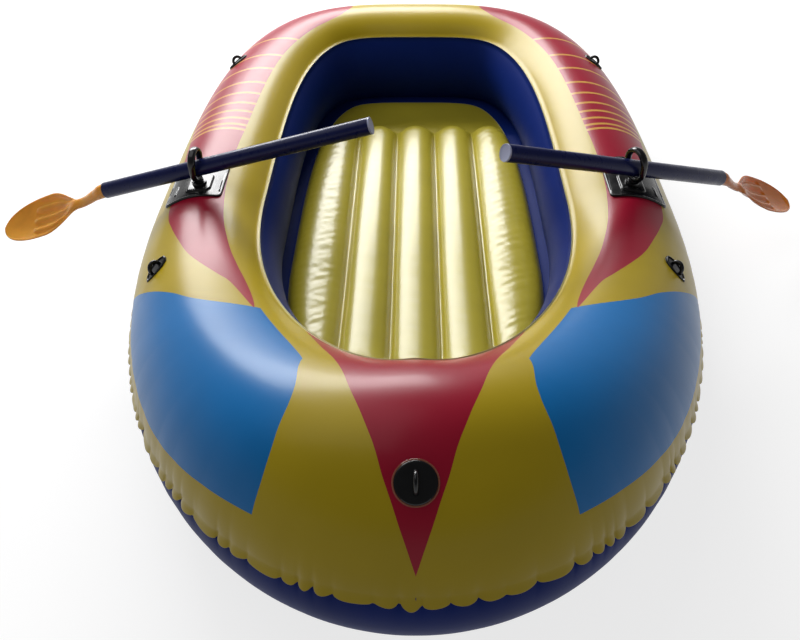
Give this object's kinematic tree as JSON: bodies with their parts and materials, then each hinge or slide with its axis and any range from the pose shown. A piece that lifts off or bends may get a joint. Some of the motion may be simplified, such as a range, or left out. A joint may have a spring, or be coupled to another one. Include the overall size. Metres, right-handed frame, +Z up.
{
  "type": "inflatable rowing boat",
  "caption": "Inflatable rowing boat: a pointed-bow air tube round a quilted air floor, with swivelling oarlocks and two take-apart oars.",
  "frame": {"origin": "middle of the boat's length and beam, on the ground it rests on", "axes": "+Y towards the stern, +X to port, +Z up"},
  "size_m": [1.8526, 2.1134, 0.4509],
  "materials": {
    "gold_vinyl": "gloss",
    "navy_vinyl": "gloss",
    "black_vinyl": "gloss",
    "shaft_navy_plastic": "satin",
    "cap_grey_plastic": "matte",
    "blade_orange_plastic": "gloss",
    "loop_black_plastic": "satin"
  },
  "bodies": {
    "hull": {"hull_top_skin": "gold_vinyl", "floor_top_sheet": "gold_vinyl", "hull_bottom_skin": "navy_vinyl", "floor_bottom_sheet": "navy_vinyl", "bow_bulkhead": "navy_vinyl", "stern_bulkhead": "navy_vinyl", "oarlock_pad_port": "black_vinyl", "rope_holder_front_port": "black_vinyl", "rope_holder_rear_port": "black_vinyl", "hull_valve_port": "black_vinyl", "oarlock_pad_starboard": "black_vinyl", "rope_holder_front_starboard": "black_vinyl", "rope_holder_rear_starboard": "black_vinyl", "hull_valve_starboard": "black_vinyl", "bow_tow_eye": "black_vinyl", "floor_valve": "black_vinyl"},
    "oarlock_loop_port": {"oarlock_loop_port": "loop_black_plastic"},
    "oar_port": {"oar_shaft_port": "shaft_navy_plastic", "oar_end_cap_port": "cap_grey_plastic"},
    "oar_blade_port": {"oar_blade_port": "blade_orange_plastic"},
    "oarlock_loop_starboard": {"oarlock_loop_starboard": "loop_black_plastic"},
    "oar_starboard": {"oar_shaft_starboard": "shaft_navy_plastic", "oar_end_cap_starboard": "cap_grey_plastic"},
    "oar_blade_starboard": {"oar_blade_starboard": "blade_orange_plastic"},
    "hull_valve_plug_port": {"hull_valve_plug_port": "black_vinyl"},
    "hull_valve_plug_starboard": {"hull_valve_plug_starboard": "black_vinyl"},
    "floor_valve_plug": {"floor_valve_plug": "black_vinyl"}
  },
  "joints": [
    {"name": "loop_swivel_port", "type": "hinge", "parent": "hull", "child": "oarlock_loop_port", "pos_m": [0.45345, -0.08471, 0.28023], "axis": [0, 0, 1], "range_deg": [-60, 10]},
    {"name": "oar_dip_port", "type": "hinge", "parent": "oarlock_loop_port", "child": "oar_port", "pos_m": [0.45345, -0.08471, 0.29803], "axis": [-0.4226, 0.9063, 0], "range_deg": [-36.5, 4.5]},
    {"name": "blade_pull_off_port", "type": "slide", "parent": "oar_port", "child": "oar_blade_port", "axis": [0.8543, 0.3984, -0.3338], "range_m": [0, 0.04]},
    {"name": "loop_swivel_starboard", "type": "hinge", "parent": "hull", "child": "oarlock_loop_starboard", "pos_m": [-0.45345, -0.08471, 0.28023], "axis": [0, 0, 1], "range_deg": [-30.5, 39.5]},
    {"name": "oar_dip_starboard", "type": "hinge", "parent": "oarlock_loop_starboard", "child": "oar_starboard", "pos_m": [-0.45345, -0.08471, 0.29803], "axis": [-0.0785, -0.9969, 0], "range_deg": [-34, 7]},
    {"name": "blade_pull_off_starboard", "type": "slide", "parent": "oar_starboard", "child": "oar_blade_starboard", "axis": [-0.9534, 0.075, -0.2924], "range_m": [0, 0.04]},
    {"name": "hull_valve_plug_port_pull", "type": "slide", "parent": "hull", "child": "hull_valve_plug_port", "axis": [0.1315, 0.904, -0.4067], "range_m": [0, 0.012]},
    {"name": "hull_valve_plug_starboard_pull", "type": "slide", "parent": "hull", "child": "hull_valve_plug_starboard", "axis": [-0.1315, 0.904, -0.4067], "range_m": [0, 0.012]},
    {"name": "floor_valve_plug_pull", "type": "slide", "parent": "hull", "child": "floor_valve_plug", "axis": [0, 0, 1], "range_m": [0, 0.012]}
  ]
}
